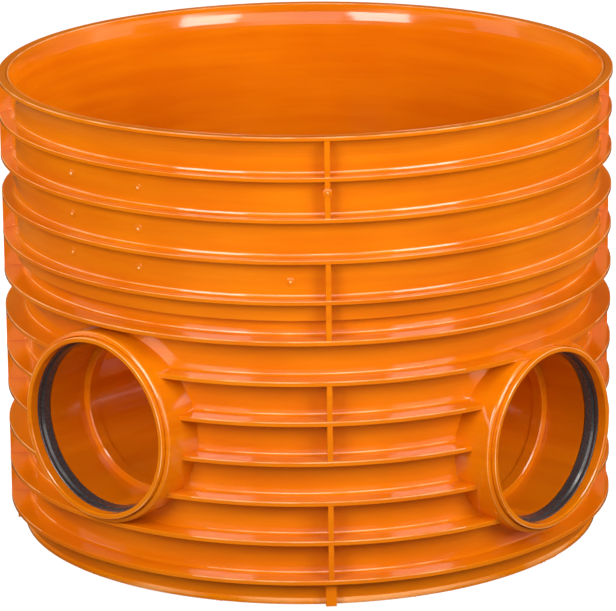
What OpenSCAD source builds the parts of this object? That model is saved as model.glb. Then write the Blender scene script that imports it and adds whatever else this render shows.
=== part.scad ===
// Drain inspection chamber: a moulded base with two pipe sockets, for a riser shaft.
// +Z is up and the base stands on z = 0. The inlet socket points along -Y, the outlet
// socket along +X, and the channel in the floor bends through 90 degrees between them.
// The ribbed shell carries the sockets, and the floor with its channel is welded in.

/* [Shaft] */
// Inside diameter of the riser socket at the top
riser_d = 568; // [480:2:700]
// Wall of the riser socket
upper_wall = 4.5; // [3.5:0.5:7]
// How far the lower wall stands in from the riser socket's wall
wall_step = 8; // [6:0.5:14]
// Wall below the riser socket
lower_wall = 4.5; // [3.5:0.5:6]
// How far the ribs stand out from the riser socket
rib_reach = 11.5; // [8:0.5:20]
// Thickness of a rib round the riser socket, at its edge
upper_rib_t = 4; // [3:0.5:6]
// Thickness of a rib round the lower wall, at its edge
lower_rib_t = 4.8; // [3:0.2:7]
// Distance from one rib to the next
rib_pitch = 39; // [34:0.5:48]
// Ribs round the riser socket
upper_ribs = 4; // [3:1:6]
// Ribs round the lower wall
lower_ribs = 7; // [6:1:9]
// Height from the underside of the top rib to the rim
top_gap = 42.5; // [36:0.5:60]
// Height of the foot below the bottom rib
foot_h = 23.5; // [16:0.5:40]
// Drop from the underside of the last upper rib to the wall step
seat_drop = 17.5; // [10:0.5:20]
// Number of upright spines
spines = 4; // [4:4:8]
// Thickness of a spine
spine_t = 5; // [3:0.5:8]

/* [Rim] */
// Thickness of the rim flange
rim_t = 4; // [3:0.5:8]
// How far the mouth opens out above the riser socket
mouth_flare = 6.5; // [3:0.5:10]
// Height of the flared mouth
flare_h = 25; // [15:1:32]

/* [Pipe sockets] */
// Outside diameter of the drain pipe
pipe_d = 160; // [110:5:200]
// Radial play between the pipe and the socket
pipe_play = 0.25; // [0.2:0.05:0.8]
// Height of the inlet pipe's axis
inlet_z = 159; // [148:0.5:166]
// Height of the outlet pipe's axis
outlet_z = 135; // [124:0.5:140]
// How far the mouth of a socket stands out past the ribs
socket_proud = 9; // [8.5:0.5:30]
// Depth from the mouth to the shoulder that stops the pipe
socket_depth = 70; // [65:1:95]
// Radial wall of a socket outside the seal
socket_wall = 5; // [4:0.5:8]
// Wall of a socket inside the chamber
inner_wall = 6; // [4:0.5:8]
// Height of the shoulder that stops the pipe
shoulder_w = 7; // [3:0.5:8]
// Length of the throat behind the shoulder
throat_len = 12; // [8:1:20]

/* [Seal and retaining ring] */
// Radial gap between the pipe and the retaining ring
ring_gap = 3.5; // [2.5:0.25:6]
// Radial width of the retaining ring's face
ring_w = 5; // [4:0.5:8]
// Length of the retaining ring's face part
ring_len = 9.5; // [9:0.5:14]
// How far the retaining ring stands out of the socket
ring_proud = 4.5; // [4:0.5:8.5]
// Length of the retaining ring's skirt beside the seal
skirt_len = 8; // [6:0.5:10]
// Thickness of that skirt
skirt_t = 1.6; // [1.2:0.1:2.4]
// Height of the snap bead on the skirt
snap_h = 0.8; // [0.5:0.1:1.2]
// Length of the seal
seal_len = 15; // [12:0.5:20]
// How far the seal's lip stands in from the socket wall
lip_bite = 0.3; // [0.1:0.05:0.5]

/* [Channel and benching] */
// How much wider the channel is than the throat, on the radius
channel_ease = 1.25; // [0.5:0.25:3]
// Wall of the channel
channel_wall = 6; // [4:0.5:8]
// Radius of the bend in plan
bend_r = 165; // [140:5:180]
// Height of the benching at the middle of the chamber
bench_z = 174.5; // [160:0.5:180]
// Thickness of the benching
bench_t = 5; // [4:0.5:8]
// Fall of the benching towards the middle
bench_fall = 5; // [2:0.5:8]
// Thickness of the ribs under the floor
web_t = 4.5; // [3:0.5:8]
// Radius of the ring rib under the floor
web_ring_r = 150; // [120:5:200]
// Gap between the floor and the shell it is welded into
floor_gap = 0.3; // [0.1:0.1:0.8]

/* [Hidden] */
$fn = 96;
eps = 0.01;

orange = "#ee7412";
black = "#2c2c2e";

// The shaft
riser_r = riser_d / 2;
upper_r = riser_r + upper_wall;
lower_r = upper_r - wall_step;
inner_r = lower_r - lower_wall;
rib_r = upper_r + rib_reach;
rim_r = rib_r + 0.5;
rib_count = upper_ribs + lower_ribs;
top_rib_z = foot_h + (rib_count - 1) * rib_pitch;
height = top_rib_z + top_gap;
step_z = foot_h + lower_ribs * rib_pitch - seat_drop;
root_fillet = 2.4;   // where a rib meets the wall
rib_draft = 0.5;     // each face of a rib leans by this much over its depth
edge_break = 0.5;    // the small bevel on a rib's edges
rim_groove = 2.1;    // from the mouth's edge to the middle of the groove in the rim
groove_w = 0.6;
groove_depth = 0.8;
foot_r = lower_r + 4.5;
foot_wall = 7;
foot_taper = 2;      // half the height over which the foot's inside steps in to the wall
bead_h = 4;          // the bead round the bottom of the foot
bead_out = 1.5;
bead_break = 1;
spine_back = 0.3;    // how far a spine stays behind the ribs
spine_bite = 1;      // how far it runs into them
spine_foot_w = spine_t + 5;
spine_foot_flare = 6;
spine_foot_back = 6; // how far its foot stays behind the ribs

// The sockets
pipe_r = pipe_d / 2;
bore_r = pipe_r + pipe_play;
mouth_r = pipe_r + ring_gap;
collar_r = mouth_r + ring_w;
ring_play = 0.2;           // radial play of the retaining ring in its recess
seal_play = 0.3;           // play of the seal behind the ring and before its seat
recess_r = collar_r + ring_play;
stub_r = collar_r + socket_wall;
mouth_at = rib_r + socket_proud;
face_at = mouth_at - ring_proud;
front_round = 3.5;         // the rounded front corner of a socket
recess_break = 0.6;        // the bevel at the front of the recess
seal_front = mouth_at - ring_len;
seal_back = seal_front - seal_len;
snap_w = 1.5;
snap_play = 0.1;
snap_z = seal_front - skirt_len + snap_w;
ring_break = 0.6;          // bevels of the retaining ring
ring_mouth_break = 0.8;
skirt_break = 0.3;
shoulder_at = mouth_at - socket_depth;
shoulder_break = 1;
throat_r = bore_r - shoulder_w;
throat_end = shoulder_at - throat_len;
inner_tube_r = bore_r + inner_wall;
tube_bite = 4;             // how far that tube runs into the socket's thicker part
stub_root = sqrt(inner_r * inner_r - stub_r * stub_r) + 1.5;

// The seal's section, from its rounded nose over the neck to the lip
lip_r = bore_r - lip_bite;
nose_r = 1.6;
nose_in = 0.7;             // how far the nose stands inside the ring
neck_in = 0.2;
neck_at = 4.2;
lip_at = 6.2;
lip_t = 1.6;
seal_break = 0.4;

// A rib that passes close under the outlet's crown takes the place of the socket there
crown_wall = 1.6;
crown_room = 9;
crown_top = outlet_z + recess_r + crown_wall;
crown_rib_z = rib_z(floor((crown_top - foot_h) / rib_pitch));
crown_trimmed = crown_top - crown_rib_z < crown_room;
crown_limit = crown_trimmed ? crown_top : outlet_z + stub_r + 1;
front_limit = crown_trimmed ? crown_rib_z + 1 : crown_limit;

// The channel
channel_r = throat_r + channel_ease;
slot_r = channel_r - 2;    // half the width between the channel's upright sides
channel_mid_z = (inlet_z + outlet_z) / 2;
channel_tilt = atan((inlet_z - outlet_z) / (throat_end * sqrt(2)));
channel_over = 4;          // how far the channel is drawn past the sockets' inner ends
flat_r = 40;               // the flat middle of the benching
floor_r = inner_r - floor_gap;
web_turn = 22.5;           // turns the webs clear of the sockets

// Points of an arc about a centre, from one angle to another
function arc(centre, r, from, to, steps) =
    [for (k = [0:steps]) let (a = from + (to - from) * k / steps)
        [centre[0] + r * cos(a), centre[1] + r * sin(a)]];

// The same points from last to first
function back(points) = [for (k = [len(points) - 1:-1:0]) points[k]];

// Height of the underside of rib i, counted from the bottom
function rib_z(i) = foot_h + i * rib_pitch;

// Outline of one rib, from above it to below it, on a wall of radius wall_r
function rib_outline(z, t, wall_r) = concat(
    arc([wall_r + root_fillet, z + t + rib_draft + root_fillet], root_fillet, 180, 270, 3),
    [[rib_r - edge_break, z + t], [rib_r, z + t - edge_break],
     [rib_r, z + edge_break], [rib_r - edge_break, z]],
    arc([wall_r + root_fillet, z - rib_draft - root_fillet], root_fillet, 90, 180, 3));

// The flare of a wall of radius wall_r, from where it starts up to height top
function flare(wall_r, top) =
    let (h = top - (height - flare_h), r = (h * h + mouth_flare * mouth_flare) / (2 * mouth_flare))
    arc([wall_r + r, height - flare_h], r, 180, 180 - asin(h / r), 6);

// Section of the wall, down the outside and up the inside
function shaft_section() = let (groove_r = riser_r + mouth_flare + rim_groove) concat(
    [[groove_r - groove_w / 2, height], [groove_r, height - groove_depth],
     [groove_r + groove_w / 2, height], [rim_r - edge_break, height], [rim_r, height - edge_break],
     [rim_r, height - rim_t + edge_break], [rim_r - edge_break, height - rim_t]],
    back(flare(upper_r, height - rim_t)),
    [for (i = [rib_count - 1:-1:lower_ribs]) each rib_outline(rib_z(i), upper_rib_t, upper_r)],
    [[upper_r, step_z], [lower_r, step_z]],
    [for (i = [lower_ribs - 1:-1:1]) each rib_outline(rib_z(i), lower_rib_t, lower_r)],
    arc([lower_r + root_fillet, foot_h + lower_rib_t + rib_draft + root_fillet], root_fillet, 180, 270, 3),
    [[rib_r - edge_break, foot_h + lower_rib_t], [rib_r, foot_h + lower_rib_t - edge_break],
     [rib_r, foot_h + edge_break], [rib_r - edge_break, foot_h], [foot_r, foot_h - rib_draft],
     [foot_r, bead_h + bead_out], [foot_r + bead_out, bead_h], [foot_r + bead_out, bead_break],
     [foot_r + bead_out - bead_break, 0], [foot_r - foot_wall, 0],
     [foot_r - foot_wall, foot_h - foot_taper], [inner_r, foot_h + foot_taper],
     [inner_r, step_z + upper_wall], [riser_r, step_z + upper_wall]],
    flare(riser_r, height));

module shaft() {
    rotate_extrude($fn = 180) polygon(shaft_section());
}

// Outline of the spine between rib i and rib i + 1, rooted in the middle of the wall
function spine_outline(i) =
    let (low = rib_z(i) + spine_bite,
        top = i == rib_count - 1 ? height - spine_bite : rib_z(i + 1) + spine_bite,
        tip = rib_r - spine_back, front = [[tip, low], [tip, top]],
        upper_root = upper_r - upper_wall / 2, lower_root = lower_r - lower_wall / 2,
        step = step_z + upper_wall / 2)
    i == rib_count - 1 ? concat(front, back(flare(upper_root, top)), [[upper_root, low]])
    : i >= lower_ribs ? concat(front, [[upper_root, top], [upper_root, low]])
    : i == lower_ribs - 1
        ? concat(front, [[upper_root, top], [upper_root, step], [lower_root, step], [lower_root, low]])
    : concat(front, [[lower_root, top], [lower_root, low]]);

// One upright spine, standing between ribs i and i + 1
module spine_bay(i) {
    translate([0, spine_t / 2, 0]) rotate([90, 0, 0]) linear_extrude(spine_t) polygon(spine_outline(i));
}

// The foot of a spine, which widens under the bottom rib
module spine_foot() {
    half = spine_foot_w / 2;
    side = arc([half + spine_foot_flare, foot_h - spine_foot_flare], spine_foot_flare, 180, 90, 4);
    right = concat([[half, edge_break]], side, [[half + spine_foot_flare, foot_h + spine_bite]]);
    outline = concat(right, [for (p = back(right)) [-p[0], p[1]]]);
    translate([foot_r - foot_wall / 2, 0, 0]) rotate([90, 0, 90])
        linear_extrude(rib_r - spine_foot_back - foot_r + foot_wall / 2) polygon(outline);
}

// Every third bay has no spine, as the mould's slides leave it
module spine() {
    for (i = [0:rib_count - 1]) if ((rib_count - 1 - i) % 3 != 2) spine_bay(i);
    spine_foot();
}

// Places its children in the inlet's frame or the outlet's: +Z out of the mouth
module at_inlet() {
    translate([0, 0, inlet_z]) rotate([90, 0, 0]) children();
}
module at_outlet() {
    translate([0, 0, outlet_z]) rotate([0, 90, 0]) children();
}

// The outside of one socket, from the mouth into the chamber
module socket_body() {
    rotate_extrude($fn = 96) polygon(concat([[0, stub_root], [stub_r, stub_root]],
        arc([stub_r - front_round, face_at - front_round], front_round, 0, 90, 4), [[0, face_at]]));
    translate([0, 0, throat_end])
        cylinder(h = stub_root + tube_bite - throat_end, r = inner_tube_r, $fn = 96);
}

// The room that the floor leaves round a socket
module socket_room() {
    tube = inner_tube_r + floor_gap;
    stub = stub_r + floor_gap;
    rotate_extrude($fn = 96) polygon([[0, throat_end - floor_gap], [tube, throat_end - floor_gap],
        [tube, stub_root - floor_gap], [stub, stub_root - floor_gap], [stub, lower_r], [0, lower_r]]);
}

// Where the outlet socket may stand: in front of the ribs only below the rib at its crown
module crown_space() {
    cylinder(h = crown_limit, r = rib_r - spine_back, $fn = 180);
    translate([0, -stub_r - 1, 0]) cube([mouth_at, 2 * stub_r + 2, front_limit]);
}

// Everything that one socket cuts away
module socket_bore() {
    rotate_extrude($fn = 96) polygon([
        [0, throat_end - eps], [throat_r, throat_end - eps], [throat_r, shoulder_at - shoulder_break],
        [throat_r + shoulder_break, shoulder_at], [bore_r, shoulder_at], [bore_r, seal_back],
        [recess_r, seal_back], [recess_r, snap_z - snap_h], [recess_r + snap_h, snap_z],
        [recess_r + snap_h, snap_z + snap_w], [recess_r, snap_z + snap_w + snap_h],
        [recess_r, face_at - recess_break], [recess_r + recess_break, face_at],
        [recess_r + recess_break, mouth_at], [0, mouth_at]]);
}

// The pipe-shaped channel of radius r, which falls evenly from the inlet to the outlet
module channel_pipe(r, reach) {
    half = throat_end / 2;
    translate([half, -half, channel_mid_z])
    rotate([0, 0, 45]) rotate([0, channel_tilt, 0]) rotate([0, 0, -45])
    translate([-half, half, 0]) {
        translate([0, -reach, 0]) rotate([-90, 0, 0]) cylinder(h = reach - bend_r, r = r, $fn = 96);
        translate([bend_r, -bend_r, 0]) rotate([0, 0, 90]) rotate_extrude(angle = 90, $fn = 96)
            translate([bend_r, 0]) circle(r = r, $fn = 96);
        translate([bend_r, 0, 0]) rotate([0, 90, 0]) cylinder(h = reach - bend_r, r = r, $fn = 96);
    }
}

// The upright sides above it, w either side of the channel's middle line
module channel_slot(w, reach, top) {
    translate([0, 0, channel_mid_z]) {
        translate([-w, -reach, 0]) cube([2 * w, reach - bend_r, top]);
        translate([bend_r, -bend_r, 0]) rotate([0, 0, 90]) rotate_extrude(angle = 90, $fn = 96)
            translate([bend_r - w, 0]) square([2 * w, top]);
        translate([bend_r, -w, 0]) cube([reach - bend_r, 2 * w, top]);
    }
}

// The space under the benching's top surface, which is a shallow dish
module under_bench() {
    rotate_extrude($fn = 180) polygon([[0, -1], [floor_r, -1],
        [floor_r, bench_z + (floor_r - flat_r) * tan(bench_fall)], [flat_r, bench_z], [0, bench_z]]);
}

// The benching, left thick upwards for under_bench() to trim
module bench_slab() {
    rise = (inner_r - flat_r) * tan(bench_fall);
    rotate_extrude($fn = 180) polygon([[0, bench_z - bench_t], [flat_r, bench_z - bench_t],
        [inner_r, bench_z - bench_t + rise], [inner_r, bench_z + rise + bench_t], [0, bench_z + bench_t]]);
}

// Ribs under the floor: a cross of eight webs and a ring
module webs() {
    top = bench_z + inner_r * tan(bench_fall);
    for (k = [0:3]) rotate([0, 0, web_turn + 45 * k])
        translate([-inner_r, -web_t / 2, 0]) cube([2 * inner_r, web_t, top]);
    rotate_extrude($fn = 120) translate([web_ring_r - web_t / 2, 0]) square([web_t, top]);
}

module chamber_floor() {
    color(orange) difference() {
        intersection() {
            under_bench();
            union() {
                bench_slab();
                webs();
                channel_pipe(channel_r + channel_wall, throat_end + channel_over);
                channel_slot(slot_r + channel_wall, throat_end + channel_over, bench_z);
            }
        }
        channel_pipe(channel_r, throat_end + channel_over);
        channel_slot(slot_r, throat_end + channel_over, bench_z);
        at_inlet() socket_room();
        at_outlet() socket_room();
    }
}

module chamber_base() {
    color(orange) difference() {
        union() {
            shaft();
            for (k = [0:spines - 1]) rotate([0, 0, 45 + 360 / spines * k]) spine();
            at_inlet() socket_body();
            intersection() {
                at_outlet() socket_body();
                crown_space();
            }
        }
        at_inlet() socket_bore();
        at_outlet() socket_bore();
    }
}

// A lip seal for one socket, in the socket's frame
module seal() {
    nose = seal_front - seal_play;
    heel = seal_back + seal_play;
    skirt_in = collar_r - skirt_t - seal_play;
    skirt_back = seal_front - skirt_len - seal_play;
    color(black) rotate_extrude($fn = 96) polygon(concat(
        [[skirt_in, nose - seal_break], [skirt_in - seal_break, nose]],
        arc([mouth_r - nose_in + nose_r, nose - nose_r], nose_r, 90, 180, 4),
        [[mouth_r - nose_in, nose - 2 * nose_r], [mouth_r - neck_in, nose - neck_at],
         [lip_r + lip_t, nose - lip_at]],
        arc([lip_r + lip_t, heel + lip_t], lip_t, 180, 270, 3),
        [[collar_r - ring_play - seal_break, heel], [collar_r - ring_play, heel + seal_break],
         [collar_r - ring_play, skirt_back], [skirt_in, skirt_back]]));
}

// The ring that snaps into a socket and holds its seal
module retaining_ring() {
    color(orange) rotate_extrude($fn = 96) polygon([
        [mouth_r, seal_front], [mouth_r, mouth_at - ring_mouth_break], [mouth_r + ring_mouth_break, mouth_at],
        [collar_r - ring_break, mouth_at], [collar_r, mouth_at - ring_break],
        [collar_r, snap_z + snap_w + snap_h - snap_play],
        [collar_r + snap_h - ring_play, snap_z + snap_w - snap_play],
        [collar_r + snap_h - ring_play, snap_z + 2 * snap_play], [collar_r, snap_z - snap_h + snap_play],
        [collar_r - skirt_break, seal_front - skirt_len], [collar_r - skirt_t, seal_front - skirt_len],
        [collar_r - skirt_t, seal_front]]);
}

module inlet_seal() {
    at_inlet() seal();
}
module inlet_retaining_ring() {
    at_inlet() retaining_ring();
}
module outlet_seal() {
    at_outlet() seal();
}
module outlet_retaining_ring() {
    at_outlet() retaining_ring();
}

chamber_base();
chamber_floor();
inlet_seal();
inlet_retaining_ring();
outlet_seal();
outlet_retaining_ring();
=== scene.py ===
# %% [markdown]
# # A drain inspection chamber in orange polypropylene
#
# The object is the base of a drain inspection chamber: a round, ribbed moulding that is buried in the
# ground, with two sockets for drain pipe and an open top that takes a shaft. This lesson dresses a
# finished CAD model of it. The ribbed shell, its floor, the two rubber seals and the two rings that
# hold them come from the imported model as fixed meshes. What is made here is what the eye adds to them:
# the finish of moulded plastic and of rubber, the small marks that a mould leaves, the roughly trimmed
# foot, a plain floor, soft light and a camera.

# %% Load the CAD model
import math

import bmesh
import bpy
from mathutils import Matrix, Vector, noise


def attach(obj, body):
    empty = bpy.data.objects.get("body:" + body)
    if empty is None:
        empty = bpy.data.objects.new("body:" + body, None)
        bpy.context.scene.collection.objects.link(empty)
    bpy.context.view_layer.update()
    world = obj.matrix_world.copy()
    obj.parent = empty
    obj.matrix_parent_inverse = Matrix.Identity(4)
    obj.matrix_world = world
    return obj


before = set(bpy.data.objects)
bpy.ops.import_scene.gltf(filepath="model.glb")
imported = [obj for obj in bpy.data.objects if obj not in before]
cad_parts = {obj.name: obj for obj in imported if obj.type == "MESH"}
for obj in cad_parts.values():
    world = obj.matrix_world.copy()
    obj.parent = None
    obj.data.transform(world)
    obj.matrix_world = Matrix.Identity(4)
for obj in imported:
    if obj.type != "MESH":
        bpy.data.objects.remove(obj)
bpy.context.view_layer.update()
MM = 0.001

# %% [markdown]
# ## The camera
#
# A product like this is shot from some metres away with a long lens, so that its ribs stay nearly
# parallel. The camera stands between the two sockets, a little nearer to the inlet, and looks down
# at 16 degrees. A tracking constraint could aim it, but it can't hold the small roll of a hand-set
# tripod. So the rotation is built from three plain turns: round to its place, down, and the roll.

# %% Camera
CAMERA_AZIMUTH = math.radians(41.35)  # from the inlet's side, towards the outlet
CAMERA_PITCH = math.radians(16.09)
CAMERA_ROLL = math.radians(-0.70)
CAMERA_DISTANCE = 3.917
CAMERA_HEIGHT = 1.3405
SENSOR_WIDTH = 36
LENS = 239.4

camera_data = bpy.data.cameras.new("camera")
camera_data.sensor_width = SENSOR_WIDTH
camera_data.lens = LENS
camera = bpy.data.objects.new("camera", camera_data)
bpy.context.scene.collection.objects.link(camera)
camera.location = (
    CAMERA_DISTANCE * math.sin(CAMERA_AZIMUTH),
    -CAMERA_DISTANCE * math.cos(CAMERA_AZIMUTH),
    CAMERA_HEIGHT,
)
aimed = Matrix.Rotation(CAMERA_AZIMUTH, 3, "Z") @ Matrix.Rotation(math.pi / 2 - CAMERA_PITCH, 3, "X")
camera.rotation_euler = (aimed @ Matrix.Rotation(CAMERA_ROLL, 3, "Z")).to_euler()
bpy.context.scene.camera = camera
print("camera at", [round(v, 3) for v in camera.location], "lens", LENS, "mm")

# %% [markdown]
# ## Colours and nodes
#
# Colours are written as the sRGB hex values that a colour picker shows, and Cycles wants linear
# ones, so one function turns them. Another adds a node of any kind, sets its inputs and links them,
# so that each material below reads as a list of its nodes. Sockets that share a name, such as the
# inputs of a Math node, are given by number.


# %% Colours and nodes
def linear(hex_colour):
    """An sRGB colour such as "#f08010" as the linear RGBA that shaders take."""
    channels = [int(hex_colour[i : i + 2], 16) / 255 for i in (1, 3, 5)]
    return tuple(c / 12.92 if c <= 0.04045 else ((c + 0.055) / 1.055) ** 2.4 for c in channels) + (1.0,)


def add_node(tree, kind, settings=None, **inputs):
    """Adds a node. An input is a value, or another node's output socket to link to."""
    node = tree.nodes.new(kind)
    for name, value in (settings or {}).items():
        setattr(node, name, value)
    for name, value in inputs.items():
        numbered = name[0] == "i" and name[1:].isdigit()
        socket = node.inputs[int(name[1:])] if numbered else node.inputs[name.replace("_", " ")]
        if isinstance(value, bpy.types.NodeSocket):
            tree.links.new(value, socket)
        else:
            socket.default_value = value
    return node


print("mid grey #808080 is", round(linear("#808080")[0], 3), "in linear light")


# %% Materials and objects
def new_material(name):
    """An empty node material, and its tree."""
    material = bpy.data.materials.new(name)
    material.use_nodes = True
    material.node_tree.nodes.clear()
    return material, material.node_tree


def dress(thing, material):
    """Gives an object one material in place of all that it has."""
    thing.data.materials.clear()
    thing.data.materials.append(material)


def object_from(shape, name):
    """Turns a bmesh into an object at the origin, with its place in its mesh."""
    mesh = bpy.data.meshes.new(name)
    shape.to_mesh(mesh)
    shape.free()
    thing = bpy.data.objects.new(name, mesh)
    bpy.context.scene.collection.objects.link(thing)
    return thing


# %% [markdown]
# ## Painted highlight lines
#
# Wherever an edge of the moulding is rounded, it catches a thin highlight. On the real piece that is a
# hair line along the upper edge and along the root of each rib, on both lips of the rim, and round the
# edges of the socket and of its ring. A bevel could catch the light there, but it would be far finer
# than the mesh, and the CAD meshes stay as they are. So the highlights are painted into the material
# as pale lines, by a mask that is worked out from the piece's own coordinates. It takes over forty
# sums, so they are written as a table, and one loop adds a Math node for each row.

# %% Where the edges are
FOOT_H = 23.5 * MM
RIB_PITCH = 39 * MM
RIB_T = 4.4 * MM  # the upper ribs are a little thinner, the lower ones thicker
RIB_R = 300 * MM
STEP_Z = 279 * MM
UPPER_WALL_R = 288.9 * MM  # just outside the wall, in the fillet
STEP_IN = 8 * MM  # how far the lower wall stands in
RIM_Z = 456 * MM
OUTER_LIP_R = 300.3 * MM
INNER_LIP_R = 290.6 * MM
INLET_Z = 159 * MM
OUTLET_Z = 135 * MM
SOCKET_HALF = 100 * MM
SOCKET_TOP = 250 * MM
FACE_AT = 303 * MM
RING_EDGE_R = 87.9 * MM
STUB_EDGE_R = 93.2 * MM
LINE_HALF = 0.5 * MM
FILLET = 2.6 * MM
print("rib edges at", [round((FOOT_H + k * RIB_PITCH + RIB_T) / MM, 1) for k in range(11)], "mm")

# %% The sums of the mask
# Each row makes a value of that name, by an operation on one, two or three values.
LINE_SUMS = [
    # The upper edge of each rib, and its root on the wall, which steps in below the riser socket.
    ("height", "SUBTRACT", "z", FOOT_H),
    ("over_rib", "FLOORED_MODULO", "height", RIB_PITCH),
    ("by_edge", "COMPARE", "over_rib", RIB_T - LINE_HALF / 2, LINE_HALF),
    ("at_rib_r", "COMPARE", "r", RIB_R, 0.9 * MM),
    ("edge", "MULTIPLY", "by_edge", "at_rib_r"),
    ("by_root", "COMPARE", "over_rib", RIB_T + FILLET, LINE_HALF),
    ("below_step", "LESS_THAN", "z", STEP_Z),
    ("set_in", "MULTIPLY", "below_step", STEP_IN),
    ("r_out", "ADD", "r", "set_in"),
    ("on_wall", "COMPARE", "r_out", UPPER_WALL_R, 1.6 * MM),
    ("root", "MULTIPLY", "by_root", "on_wall"),
    ("rib_line", "MAXIMUM", "edge", "root"),
    # No rib lines on the sockets.
    ("inlet_side", "COMPARE", "x", 0.0, SOCKET_HALF),
    ("outlet_side", "COMPARE", "y", 0.0, SOCKET_HALF),
    ("before_inlet", "LESS_THAN", "y", 0.0),
    ("before_outlet", "GREATER_THAN", "x", 0.0),
    ("by_inlet", "MULTIPLY", "inlet_side", "before_inlet"),
    ("by_outlet", "MULTIPLY", "outlet_side", "before_outlet"),
    ("by_socket", "MAXIMUM", "by_inlet", "by_outlet"),
    ("low", "LESS_THAN", "z", SOCKET_TOP),
    ("socket", "MULTIPLY", "by_socket", "low"),
    ("clear", "SUBTRACT", 1.0, "socket"),
    ("ribs", "MULTIPLY", "rib_line", "clear"),
    # The two lips of the rim.
    ("by_rim", "COMPARE", "z", RIM_Z, 1.0 * MM),
    ("outer_lip", "COMPARE", "r", OUTER_LIP_R, 0.6 * MM),
    ("inner_lip", "COMPARE", "r", INNER_LIP_R, LINE_HALF),
    ("lips", "MAXIMUM", "outer_lip", "inner_lip"),
    ("rim", "MULTIPLY", "by_rim", "lips"),
    ("ribs_and_rim", "MAXIMUM", "ribs", "rim"),
    # The edge of each socket and of its ring, by the distance from the pipe's axis.
    ("inlet_up", "SUBTRACT", "z", INLET_Z),
    ("outlet_up", "SUBTRACT", "z", OUTLET_Z),
    ("inlet_r2", "MULTIPLY_ADD", "inlet_up", "inlet_up", "x2"),
    ("outlet_r2", "MULTIPLY_ADD", "outlet_up", "outlet_up", "y2"),
    ("inlet_r", "SQRT", "inlet_r2"),
    ("outlet_r", "SQRT", "outlet_r2"),
    ("inlet_face", "LESS_THAN", "y", -FACE_AT),
    ("outlet_face", "GREATER_THAN", "x", FACE_AT),
    ("inlet_ring", "MULTIPLY", "inlet_r", "inlet_face"),
    ("ring_r", "MULTIPLY_ADD", "outlet_r", "outlet_face", "inlet_ring"),
    ("ring_line", "COMPARE", "ring_r", RING_EDGE_R, 0.4 * MM),
    ("stub_line", "COMPARE", "ring_r", STUB_EDGE_R, 0.7 * MM),
    ("socket_lines", "MAXIMUM", "ring_line", "stub_line"),
    ("all_lines", "MAXIMUM", "ribs_and_rim", "socket_lines"),
]


def highlight_line_mask(tree, place):
    """1 on the edges where a highlight line is painted, 0 elsewhere."""
    x, y, z = add_node(tree, "ShaderNodeSeparateXYZ", Vector=place).outputs
    plan = add_node(tree, "ShaderNodeMapping", Vector=place, Scale=(1.0, 1.0, 0.0)).outputs[0]
    r = add_node(tree, "ShaderNodeVectorMath", {"operation": "LENGTH"}, i0=plan).outputs["Value"]
    squares = add_node(tree, "ShaderNodeVectorMath", {"operation": "MULTIPLY"}, i0=place, i1=place)
    x2, y2 = add_node(tree, "ShaderNodeSeparateXYZ", Vector=squares.outputs[0]).outputs[:2]
    made = {"x": x, "y": y, "z": z, "r": r, "x2": x2, "y2": y2}
    for name, operation, *values in LINE_SUMS:
        inputs = {"i%d" % k: made.get(value, value) for k, value in enumerate(values)}
        made[name] = add_node(tree, "ShaderNodeMath", {"operation": operation}, **inputs).outputs[0]
    return made["all_lines"]


print("sums in the mask:", len(LINE_SUMS))

# %% [markdown]
# ## The orange
#
# The real thing is pigmented polypropylene copolymer, injection moulded. Four things make it look
# so rather than painted:
#
# - the pigment is almost free of blue, so folds and undersides turn a deep red-orange by themselves
#   as light bounces between them;
# - flow marks: very faint bands that run round the wall, a little lighter or darker;
# - the gloss is satin and slightly uneven, with a fine grain from the tool, under a thin harder skin
#   that gives the crisp, narrow highlights;
# - reflections are weak face on, a touch warm, and pale only at a grazing angle.
#
# Two noises give the flow marks: an even cloud, and one that is squeezed in height so that it makes
# bands round the wall. Their sum lies near 1, and a ramp turns it into three close oranges. The
# painted highlight lines come and go along their length, so a finer noise fades them. The grain is
# drawn at 3.5 mm, coarser than the tool's own, because a finer one wouldn't show from this far.

# %% Sizes of the patterns
CLOUD = 120 * MM
BAND = 160 * MM
BAND_SQUEEZE = 14.0
# The size of the noise that fades the painted highlight lines.
HIGHLIGHT_FADE = 30 * MM
MOULD_GRAIN = 3.5 * MM
print("a band is about", round(BAND / BAND_SQUEEZE / MM, 1), "mm high")


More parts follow.
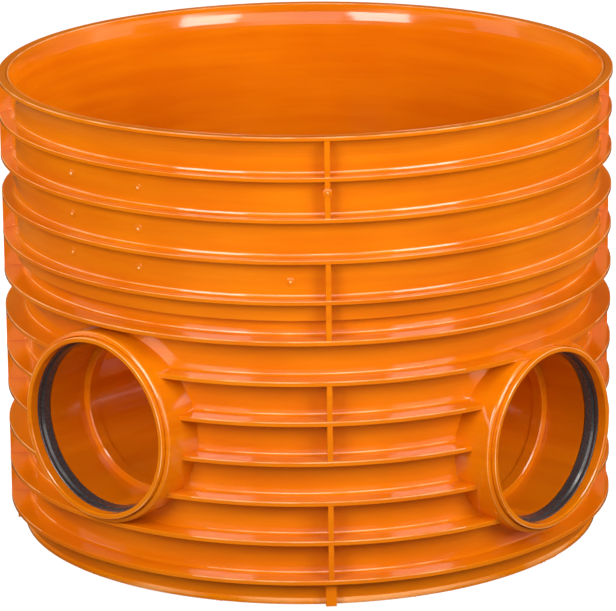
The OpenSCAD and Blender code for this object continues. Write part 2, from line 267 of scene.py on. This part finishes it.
# %% Orange polypropylene
def moulded_polypropylene(name, light, mid, deep, roughness):
    """Pigmented copolymer, moulded: satin gloss, faint flow marks, painted highlights as pale edge lines.
    """
    material, tree = new_material(name)
    place = add_node(tree, "ShaderNodeTexCoord").outputs["Object"]
    cloud = add_node(tree, "ShaderNodeTexNoise", Vector=place, Scale=1 / CLOUD).outputs["Fac"]
    squeezed = add_node(tree, "ShaderNodeMapping", Vector=place, Scale=(1.0, 1.0, BAND_SQUEEZE))
    bands = add_node(tree, "ShaderNodeTexNoise", Vector=squeezed.outputs[0], Scale=1 / BAND, Detail=3.0)
    flow = add_node(tree, "ShaderNodeMath", {"operation": "ADD"}, i0=cloud, i1=bands.outputs["Fac"])
    spread = add_node(tree, "ShaderNodeMapRange", Value=flow.outputs[0], From_Min=0.75, From_Max=1.25)
    colour = add_node(tree, "ShaderNodeValToRGB", Fac=spread.outputs["Result"])
    ramp = colour.color_ramp
    ramp.elements[0].color = linear(deep)
    ramp.elements[1].color = linear(light)
    ramp.elements.new(0.5).color = linear(mid)

    # A noise fades the painted highlight lines along their length.
    highlight_fade_noise = add_node(tree, "ShaderNodeTexNoise", Vector=place, Scale=1 / HIGHLIGHT_FADE, Detail=3.0)
    fade = add_node(
        tree,
        "ShaderNodeMapRange",
        Value=highlight_fade_noise.outputs["Fac"],
        From_Min=0.35,
        From_Max=0.6,
        To_Min=0.1,
        To_Max=0.5,
    )
    # The edge lines are a painted highlight: the pale #ffcf96 is mixed into the orange along them.
    lines = highlight_line_mask(tree, place)
    painted_highlight = add_node(tree, "ShaderNodeMath", {"operation": "MULTIPLY"}, i0=lines, i1=fade.outputs["Result"])
    base = add_node(
        tree,
        "ShaderNodeMix",
        {"data_type": "RGBA"},
        i0=painted_highlight.outputs[0],
        i6=colour.outputs["Color"],
        i7=linear("#ffcf96"),
    )

    gloss = add_node(
        tree, "ShaderNodeMapRange", Value=cloud, To_Min=roughness - 0.04, To_Max=roughness + 0.06
    )
    grain = add_node(tree, "ShaderNodeTexNoise", Vector=place, Scale=1 / MOULD_GRAIN)
    bump = add_node(
        tree, "ShaderNodeBump", Height=grain.outputs["Fac"], Strength=0.1, Distance=0.2 * MM
    )
    shader = add_node(
        tree,
        "ShaderNodeBsdfPrincipled",
        Base_Color=base.outputs[2],
        Roughness=gloss.outputs["Result"],
        IOR=1.49,
        Specular_Tint=linear("#fff9f4"),
        Coat_Weight=0.3,
        Coat_Roughness=0.06,
        Normal=bump.outputs["Normal"],
    )
    add_node(tree, "ShaderNodeOutputMaterial", Surface=shader.outputs["BSDF"])
    return material


orange = moulded_polypropylene("moulded_polypropylene", "#df7704", "#da7003", "#d56803", 0.12)
ring_orange = moulded_polypropylene("ring_polypropylene", "#e07a05", "#db7304", "#d66b04", 0.09)
print("plastic:", orange.name, ring_orange.name)

# %% [markdown]
# ## Rubber
#
# The seals are moulded EPDM: near black, a little grey from the tool's fine grain, with a soft sheen
# and, over it, a faint sharper one from the grease that helps a pipe in. One noise serves for both
# the grain's colour and its relief. Real grain is some tenths of a millimetre wide and wouldn't show,
# so it is drawn at 1.6 mm.

# %% Rubber
RUBBER_GRAIN = 1.6 * MM
rubber, tree = new_material("moulded_epdm_rubber")
place = add_node(tree, "ShaderNodeTexCoord").outputs["Object"]
grain = add_node(
    tree, "ShaderNodeTexNoise", Vector=place, Scale=1 / RUBBER_GRAIN, Detail=3.0, Roughness=0.6
)
shade = add_node(tree, "ShaderNodeValToRGB", Fac=grain.outputs["Fac"])
ramp = shade.color_ramp
ramp.elements[0].position, ramp.elements[0].color = 0.35, linear("#2b292a")
ramp.elements[1].position, ramp.elements[1].color = 0.65, linear("#464344")
bump = add_node(tree, "ShaderNodeBump", Height=grain.outputs["Fac"], Strength=0.25, Distance=0.3 * MM)
shader = add_node(
    tree,
    "ShaderNodeBsdfPrincipled",
    Base_Color=shade.outputs["Color"],
    Roughness=0.26,
    IOR=1.52,
    Coat_Weight=0.3,
    Coat_Roughness=0.08,
    Normal=bump.outputs["Normal"],
)
add_node(tree, "ShaderNodeOutputMaterial", Surface=shader.outputs["BSDF"])
print("rubber:", rubber.name)

# %% [markdown]
# ## Dressing the CAD nodes
#
# The meshes stay as they are, because their shapes are already right. Each node only gets the
# material that the real piece is made of, found by the end of its name. The rings come from another
# mould than the shell, so they are a shade lighter and glossier.

# %% Dress the nodes
for name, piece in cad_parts.items():
    if name.endswith("_seal"):
        dress(piece, rubber)
    elif name.endswith("_ring"):
        dress(piece, ring_orange)
    else:
        dress(piece, orange)
    print(name, "->", piece.data.materials[0].name)

# %% [markdown]
# ## Moulding pips
#
# Where the mould lets air out, it leaves a low disc with a small nub on it, whose pale colour is a painted
# highlight.
# Six stand either side of the inlet's axis, in the second to fourth bays from the top, one more near
# the front spine, and one on the spine itself. Each could be turned from a profile, but a ball that is
# squashed along the wall's normal is the same low cap once its lower half is sunk in the wall, and is
# closed as it is. One mesh holds all the discs, and another all the nubs.

# %% Where the pips are
WALL_R = 288.5 * MM
SPINE_R = 299.7 * MM
PIPS = [
    # degrees from the inlet's axis, height in mm, radius of the surface
    (-8.45, 396.4, WALL_R),
    (8.55, 396.2, WALL_R),
    (-8.5, 357.4, WALL_R),
    (8.45, 356.6, WALL_R),
    (-8.6, 319.8, WALL_R),
    (8.4, 319.0, WALL_R),
    (38.2, 316.4, WALL_R),
    (45.0, 403.5, SPINE_R),
]
PIP_R = 1.35 * MM
PIP_RISE = 1.9 * MM
DISC_R = 4.2 * MM
DISC_RISE = 0.5 * MM


def around(azimuth, radius, z):
    """A point at an azimuth measured from the inlet's axis, which is -Y, towards +X."""
    a = math.radians(azimuth)
    return Vector((radius * math.sin(a), -radius * math.cos(a), z))


print("pips:", len(PIPS))


# %% Pips
def piece_from(shape, name, material):
    """Turns a closed bmesh into a piece that rides on the root body."""
    bmesh.ops.recalc_face_normals(shape, faces=shape.faces)
    piece = object_from(shape, name)
    dress(piece, material)
    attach(piece, "root")
    return piece


def caps(name, cap_r, rise, material):
    """One low cap on the wall at each place, all in one mesh."""
    shape = bmesh.new()
    for azimuth, z, wall_r in PIPS:
        turn = Matrix.Rotation(math.radians(azimuth), 4, "Z") @ Matrix.Diagonal((1, rise / cap_r, 1, 1))
        place = Matrix.Translation(around(azimuth, wall_r, z * MM)) @ turn
        bmesh.ops.create_uvsphere(shape, u_segments=24, v_segments=12, radius=cap_r, matrix=place)
    piece = piece_from(shape, name, material)
    piece.data.shade_smooth()
    return piece


# The nubs' pale oranges are a painted highlight on each small cap.
pip_highlight_orange = moulded_polypropylene("pip_painted_highlight_polypropylene", "#ffd6ac", "#f8ac62", "#ee9434", 0.08)
discs = caps("vent_discs", DISC_R, DISC_RISE, orange)
pips = caps("moulding_pips", PIP_R, PIP_RISE, pip_highlight_orange)
print("faces of the discs:", len(discs.data.polygons), "and of the nubs:", len(pips.data.polygons))

# %% [markdown]
# ## The trimmed foot
#
# The foot's bead is trimmed by hand after moulding, which leaves a thin ragged skin along it. Its
# colour is paler than the wall in patches, and these are a painted highlight, the bright line that the
# ragged edge catches. Displacing the foot itself isn't possible, because it is a CAD mesh. So a closed
# profile with its back sunk in the bead is spun once round the axis, and its outer points then wander
# by noise, in patches: smooth for a hand's width, then torn.

# %% Trimmed foot
FOOT_R = 286.5 * MM
STRIP = [(-1.5, 6.0), (0.25, 4.3), (0.35, 2.6), (0.1, 0.7), (-1.5, 0.1)]  # out and up, in mm
STRIP_STEPS = 1440
PATCHES, TEARS, FINE_TEARS = 22, 420, 1100  # cells of noise in a metre
PATCH_GAIN, PATCH_SHARE = 1.6, 0.1  # more of either makes more of the edge torn
TEAR_OUT, TEAR_UP = 0.5, 0.9  # mm
FINE_OUT, FINE_UP = 0.7, 0.6  # mm

shape = bmesh.new()
start = [shape.verts.new(around(0, FOOT_R + out * MM, z * MM)) for out, z in STRIP]
loop = [shape.edges.new((start[k], start[k - 1])) for k in range(len(start))]
bmesh.ops.spin(
    shape,
    geom=start + loop,
    cent=(0, 0, 0),
    axis=(0, 0, 1),
    angle=2 * math.pi,
    steps=STRIP_STEPS,
    use_merge=True,
)
for vert in shape.verts:
    if vert.co.xy.length > FOOT_R:
        patch = PATCH_GAIN * max(0.0, noise.noise(vert.co * PATCHES) + PATCH_SHARE)
        torn = patch * noise.noise(vert.co * TEARS)
        fine = patch * noise.noise(vert.co * FINE_TEARS)
        vert.co.xy *= 1 + (TEAR_OUT * abs(torn) + FINE_OUT * abs(fine)) * MM / FOOT_R
        vert.co.z += (TEAR_UP * torn + FINE_UP * fine) * MM
# The lightest orange, #f7b070, is a painted highlight: the bright ragged line along the bead.
trimmed = moulded_polypropylene("trimmed_painted_highlight_polypropylene", "#f7b070", "#e07a05", "#d86e03", 0.12)
strip = piece_from(shape, "trimmed_edge", trimmed)
print("faces of the trimmed edge:", len(strip.data.polygons))

# %% [markdown]
# ## The floor
#
# A plain pale floor. Its light on the chamber is that of a mid-grey table, so that undersides keep
# their depth. To the camera and in reflections it is lifted towards white by an emission, a little
# less near the chamber than far away, and the part that the lamps make is added to it, so the
# chamber's shadow is kept. Brighter lamps would whiten it too, but they would wash out the orange.

# %% What a ray is for
FLOOR_HALF = 12.0


def is_seen(tree):
    """1 for the rays that show a background: camera, glossy and transmission rays."""
    ray = add_node(tree, "ShaderNodeLightPath").outputs
    most = {"operation": "MAXIMUM"}
    two = add_node(tree, "ShaderNodeMath", most, i0=ray["Is Camera Ray"], i1=ray["Is Glossy Ray"])
    three = add_node(tree, "ShaderNodeMath", most, i0=two.outputs[0], i1=ray["Is Transmission Ray"])
    return three.outputs[0]


shape = bmesh.new()
bmesh.ops.create_grid(shape, x_segments=1, y_segments=1, size=FLOOR_HALF)
floor = object_from(shape, "floor")
print("floor:", 2 * FLOOR_HALF, "m wide")

# %% Floor
NEAR, FAR = 0.9, 2.6
NEAR_LIFT, FAR_LIFT = 0.86, 1.0

paper, tree = new_material("pale_floor")
diffuse = add_node(tree, "ShaderNodeBsdfDiffuse", Color=linear("#82817f"))
place = add_node(tree, "ShaderNodeTexCoord").outputs["Object"]
away = add_node(tree, "ShaderNodeVectorMath", {"operation": "LENGTH"}, i0=place).outputs["Value"]
rise = add_node(
    tree, "ShaderNodeMapRange", Value=away, From_Min=NEAR, From_Max=FAR, To_Min=NEAR_LIFT, To_Max=FAR_LIFT
)
lift = add_node(
    tree, "ShaderNodeMath", {"operation": "MULTIPLY"}, i0=is_seen(tree), i1=rise.outputs["Result"]
)
glow = add_node(tree, "ShaderNodeEmission", Color=linear("#ffffff"), Strength=lift.outputs[0])
lit = add_node(tree, "ShaderNodeAddShader", i0=diffuse.outputs[0], i1=glow.outputs[0])
add_node(tree, "ShaderNodeOutputMaterial", Surface=lit.outputs[0])
dress(floor, paper)
print("floor material:", paper.name)

# %% [markdown]
# ## The world
#
# The world gives a dim, even fill. To the camera and in reflections it is white, at a strength of 1.
# The Standard view keeps each colour as it is written.

# %% World
FILL = 0.12

world = bpy.data.worlds.new("world")
bpy.context.scene.world = world
world.use_nodes = True
tree = world.node_tree
tree.nodes.clear()
dim = add_node(tree, "ShaderNodeBackground", Color=linear("#ffffff"), Strength=FILL)
white = add_node(tree, "ShaderNodeBackground", Color=linear("#ffffff"), Strength=1.0)
mix = add_node(tree, "ShaderNodeMixShader", i0=is_seen(tree), i1=dim.outputs[0], i2=white.outputs[0])
add_node(tree, "ShaderNodeOutputWorld", Surface=mix.outputs[0])
bpy.context.scene.view_settings.view_transform = "Standard"
print("fill:", FILL)

# %% [markdown]
# ## Dark felt
#
# Satin plastic mirrors the white studio at a grazing angle, and goes milky. In a studio, dark cards
# called flags stand round such an object, and felt lies under it and hangs over it. These are seen by
# glossy rays only, so they take the milk off the walls and out of the sockets, and change neither the
# light nor the white background. Each is one flat face, because only its darkness counts.

# %% Felt
FLAGS = [
    # name, degrees from the camera, distance, width, height
    ("left_flag", -132, 1.7, 2.0, 1.3),
    ("right_flag", 132, 1.7, 2.0, 1.3),
    ("back_flag", 180, 1.7, 2.2, 1.3),
    ("left_front_flag", -52, 2.8, 2.6, 1.5),
    ("right_front_flag", 52, 2.8, 2.6, 1.5),
]
SHEETS = [("floor_felt", 3.5, 0.5 * MM), ("ceiling_felt", 5.0, 3.2)]  # name, radius, height

felt, tree = new_material("dark_felt")
matt = add_node(tree, "ShaderNodeBsdfDiffuse", Color=linear("#303030"))
add_node(tree, "ShaderNodeOutputMaterial", Surface=matt.outputs[0])


def reflected_only(name, shape):
    """Makes a piece of dark felt that only reflections see."""
    card = object_from(shape, name)
    card.visible_camera = card.visible_diffuse = card.visible_transmission = False
    card.visible_shadow = False
    dress(card, felt)


print("pieces of felt:", len(FLAGS) + len(SHEETS))

# %% Flags and sheets
for name, azimuth, distance, width, height in FLAGS:
    a = CAMERA_AZIMUTH + math.radians(azimuth)
    stand = (distance * math.sin(a), -distance * math.cos(a), height / 2)
    upright = Matrix.Rotation(math.pi / 2, 3, "X")
    shape = bmesh.new()
    bmesh.ops.create_grid(shape, x_segments=1, y_segments=1, size=0.5)
    bmesh.ops.scale(shape, vec=(width, height, 1), verts=shape.verts)
    bmesh.ops.rotate(shape, cent=(0, 0, 0), matrix=upright, verts=shape.verts)
    bmesh.ops.rotate(shape, cent=(0, 0, 0), matrix=Matrix.Rotation(a, 3, "Z"), verts=shape.verts)
    bmesh.ops.translate(shape, vec=stand, verts=shape.verts)
    reflected_only(name, shape)

for name, radius, z in SHEETS:
    shape = bmesh.new()
    bmesh.ops.create_circle(shape, cap_ends=True, segments=64, radius=radius)
    bmesh.ops.translate(shape, vec=(0, 0, z), verts=shape.verts)
    reflected_only(name, shape)
print("felt:", [name for name, *_ in FLAGS + SHEETS])

# %% [markdown]
# ## Softboxes
#
# Two tall softboxes stand some 40 degrees either side of the camera. They draw the pale patches on
# the ribs' upper faces and on the flared back of the mouth. A broad, weak one by the camera keeps the
# shadows under the ribs thin, and a top light keeps the inside open. Two at the sides and one behind
# light the rest, and aren't reflected, so that they leave no patches on the walls. Lamps are aimed by
# pointing their -Z at the chamber.

# %% Softboxes
AIM = Vector((0, 0, 0.22))
SOFTBOXES = [
    # name, degrees from the camera, elevation, distance, width, height, power, reflected
    ("left_softbox", -34, 25, 1.9, 0.8, 0.9, 24.5, True),
    ("right_softbox", 43, 25, 1.9, 0.8, 0.9, 24.5, True),
    ("front_softbox", 5, 14, 2.8, 2.0, 1.6, 12, True),
    ("top_softbox", 0, 72, 2.4, 1.2, 1.2, 4, True),
    ("left_side_softbox", -118, 22, 1.5, 0.8, 0.6, 14, False),
    ("right_side_softbox", 118, 22, 1.5, 0.8, 0.6, 14, False),
    ("back_softbox", 180, 32, 1.6, 1.2, 0.8, 18, False),
]

for name, azimuth, elevation, distance, width, height, power, reflected in SOFTBOXES:
    data = bpy.data.lights.new(name, "AREA")
    data.shape = "RECTANGLE"
    data.size, data.size_y, data.energy = width, height, power
    lamp = bpy.data.objects.new(name, data)
    bpy.context.scene.collection.objects.link(lamp)
    a, e = CAMERA_AZIMUTH + math.radians(azimuth), math.radians(elevation)
    offset = Vector((math.sin(a) * math.cos(e), -math.cos(a) * math.cos(e), math.sin(e)))
    lamp.location = AIM + offset * distance
    lamp.rotation_euler = (-offset).to_track_quat("-Z", "Y").to_euler()
    lamp.visible_glossy = reflected
    print(name, power, "W")

# %% [markdown]
# ## Sizes
#
# The pieces made here lie on the CAD surfaces, so the model's box has to be that of the CAD.
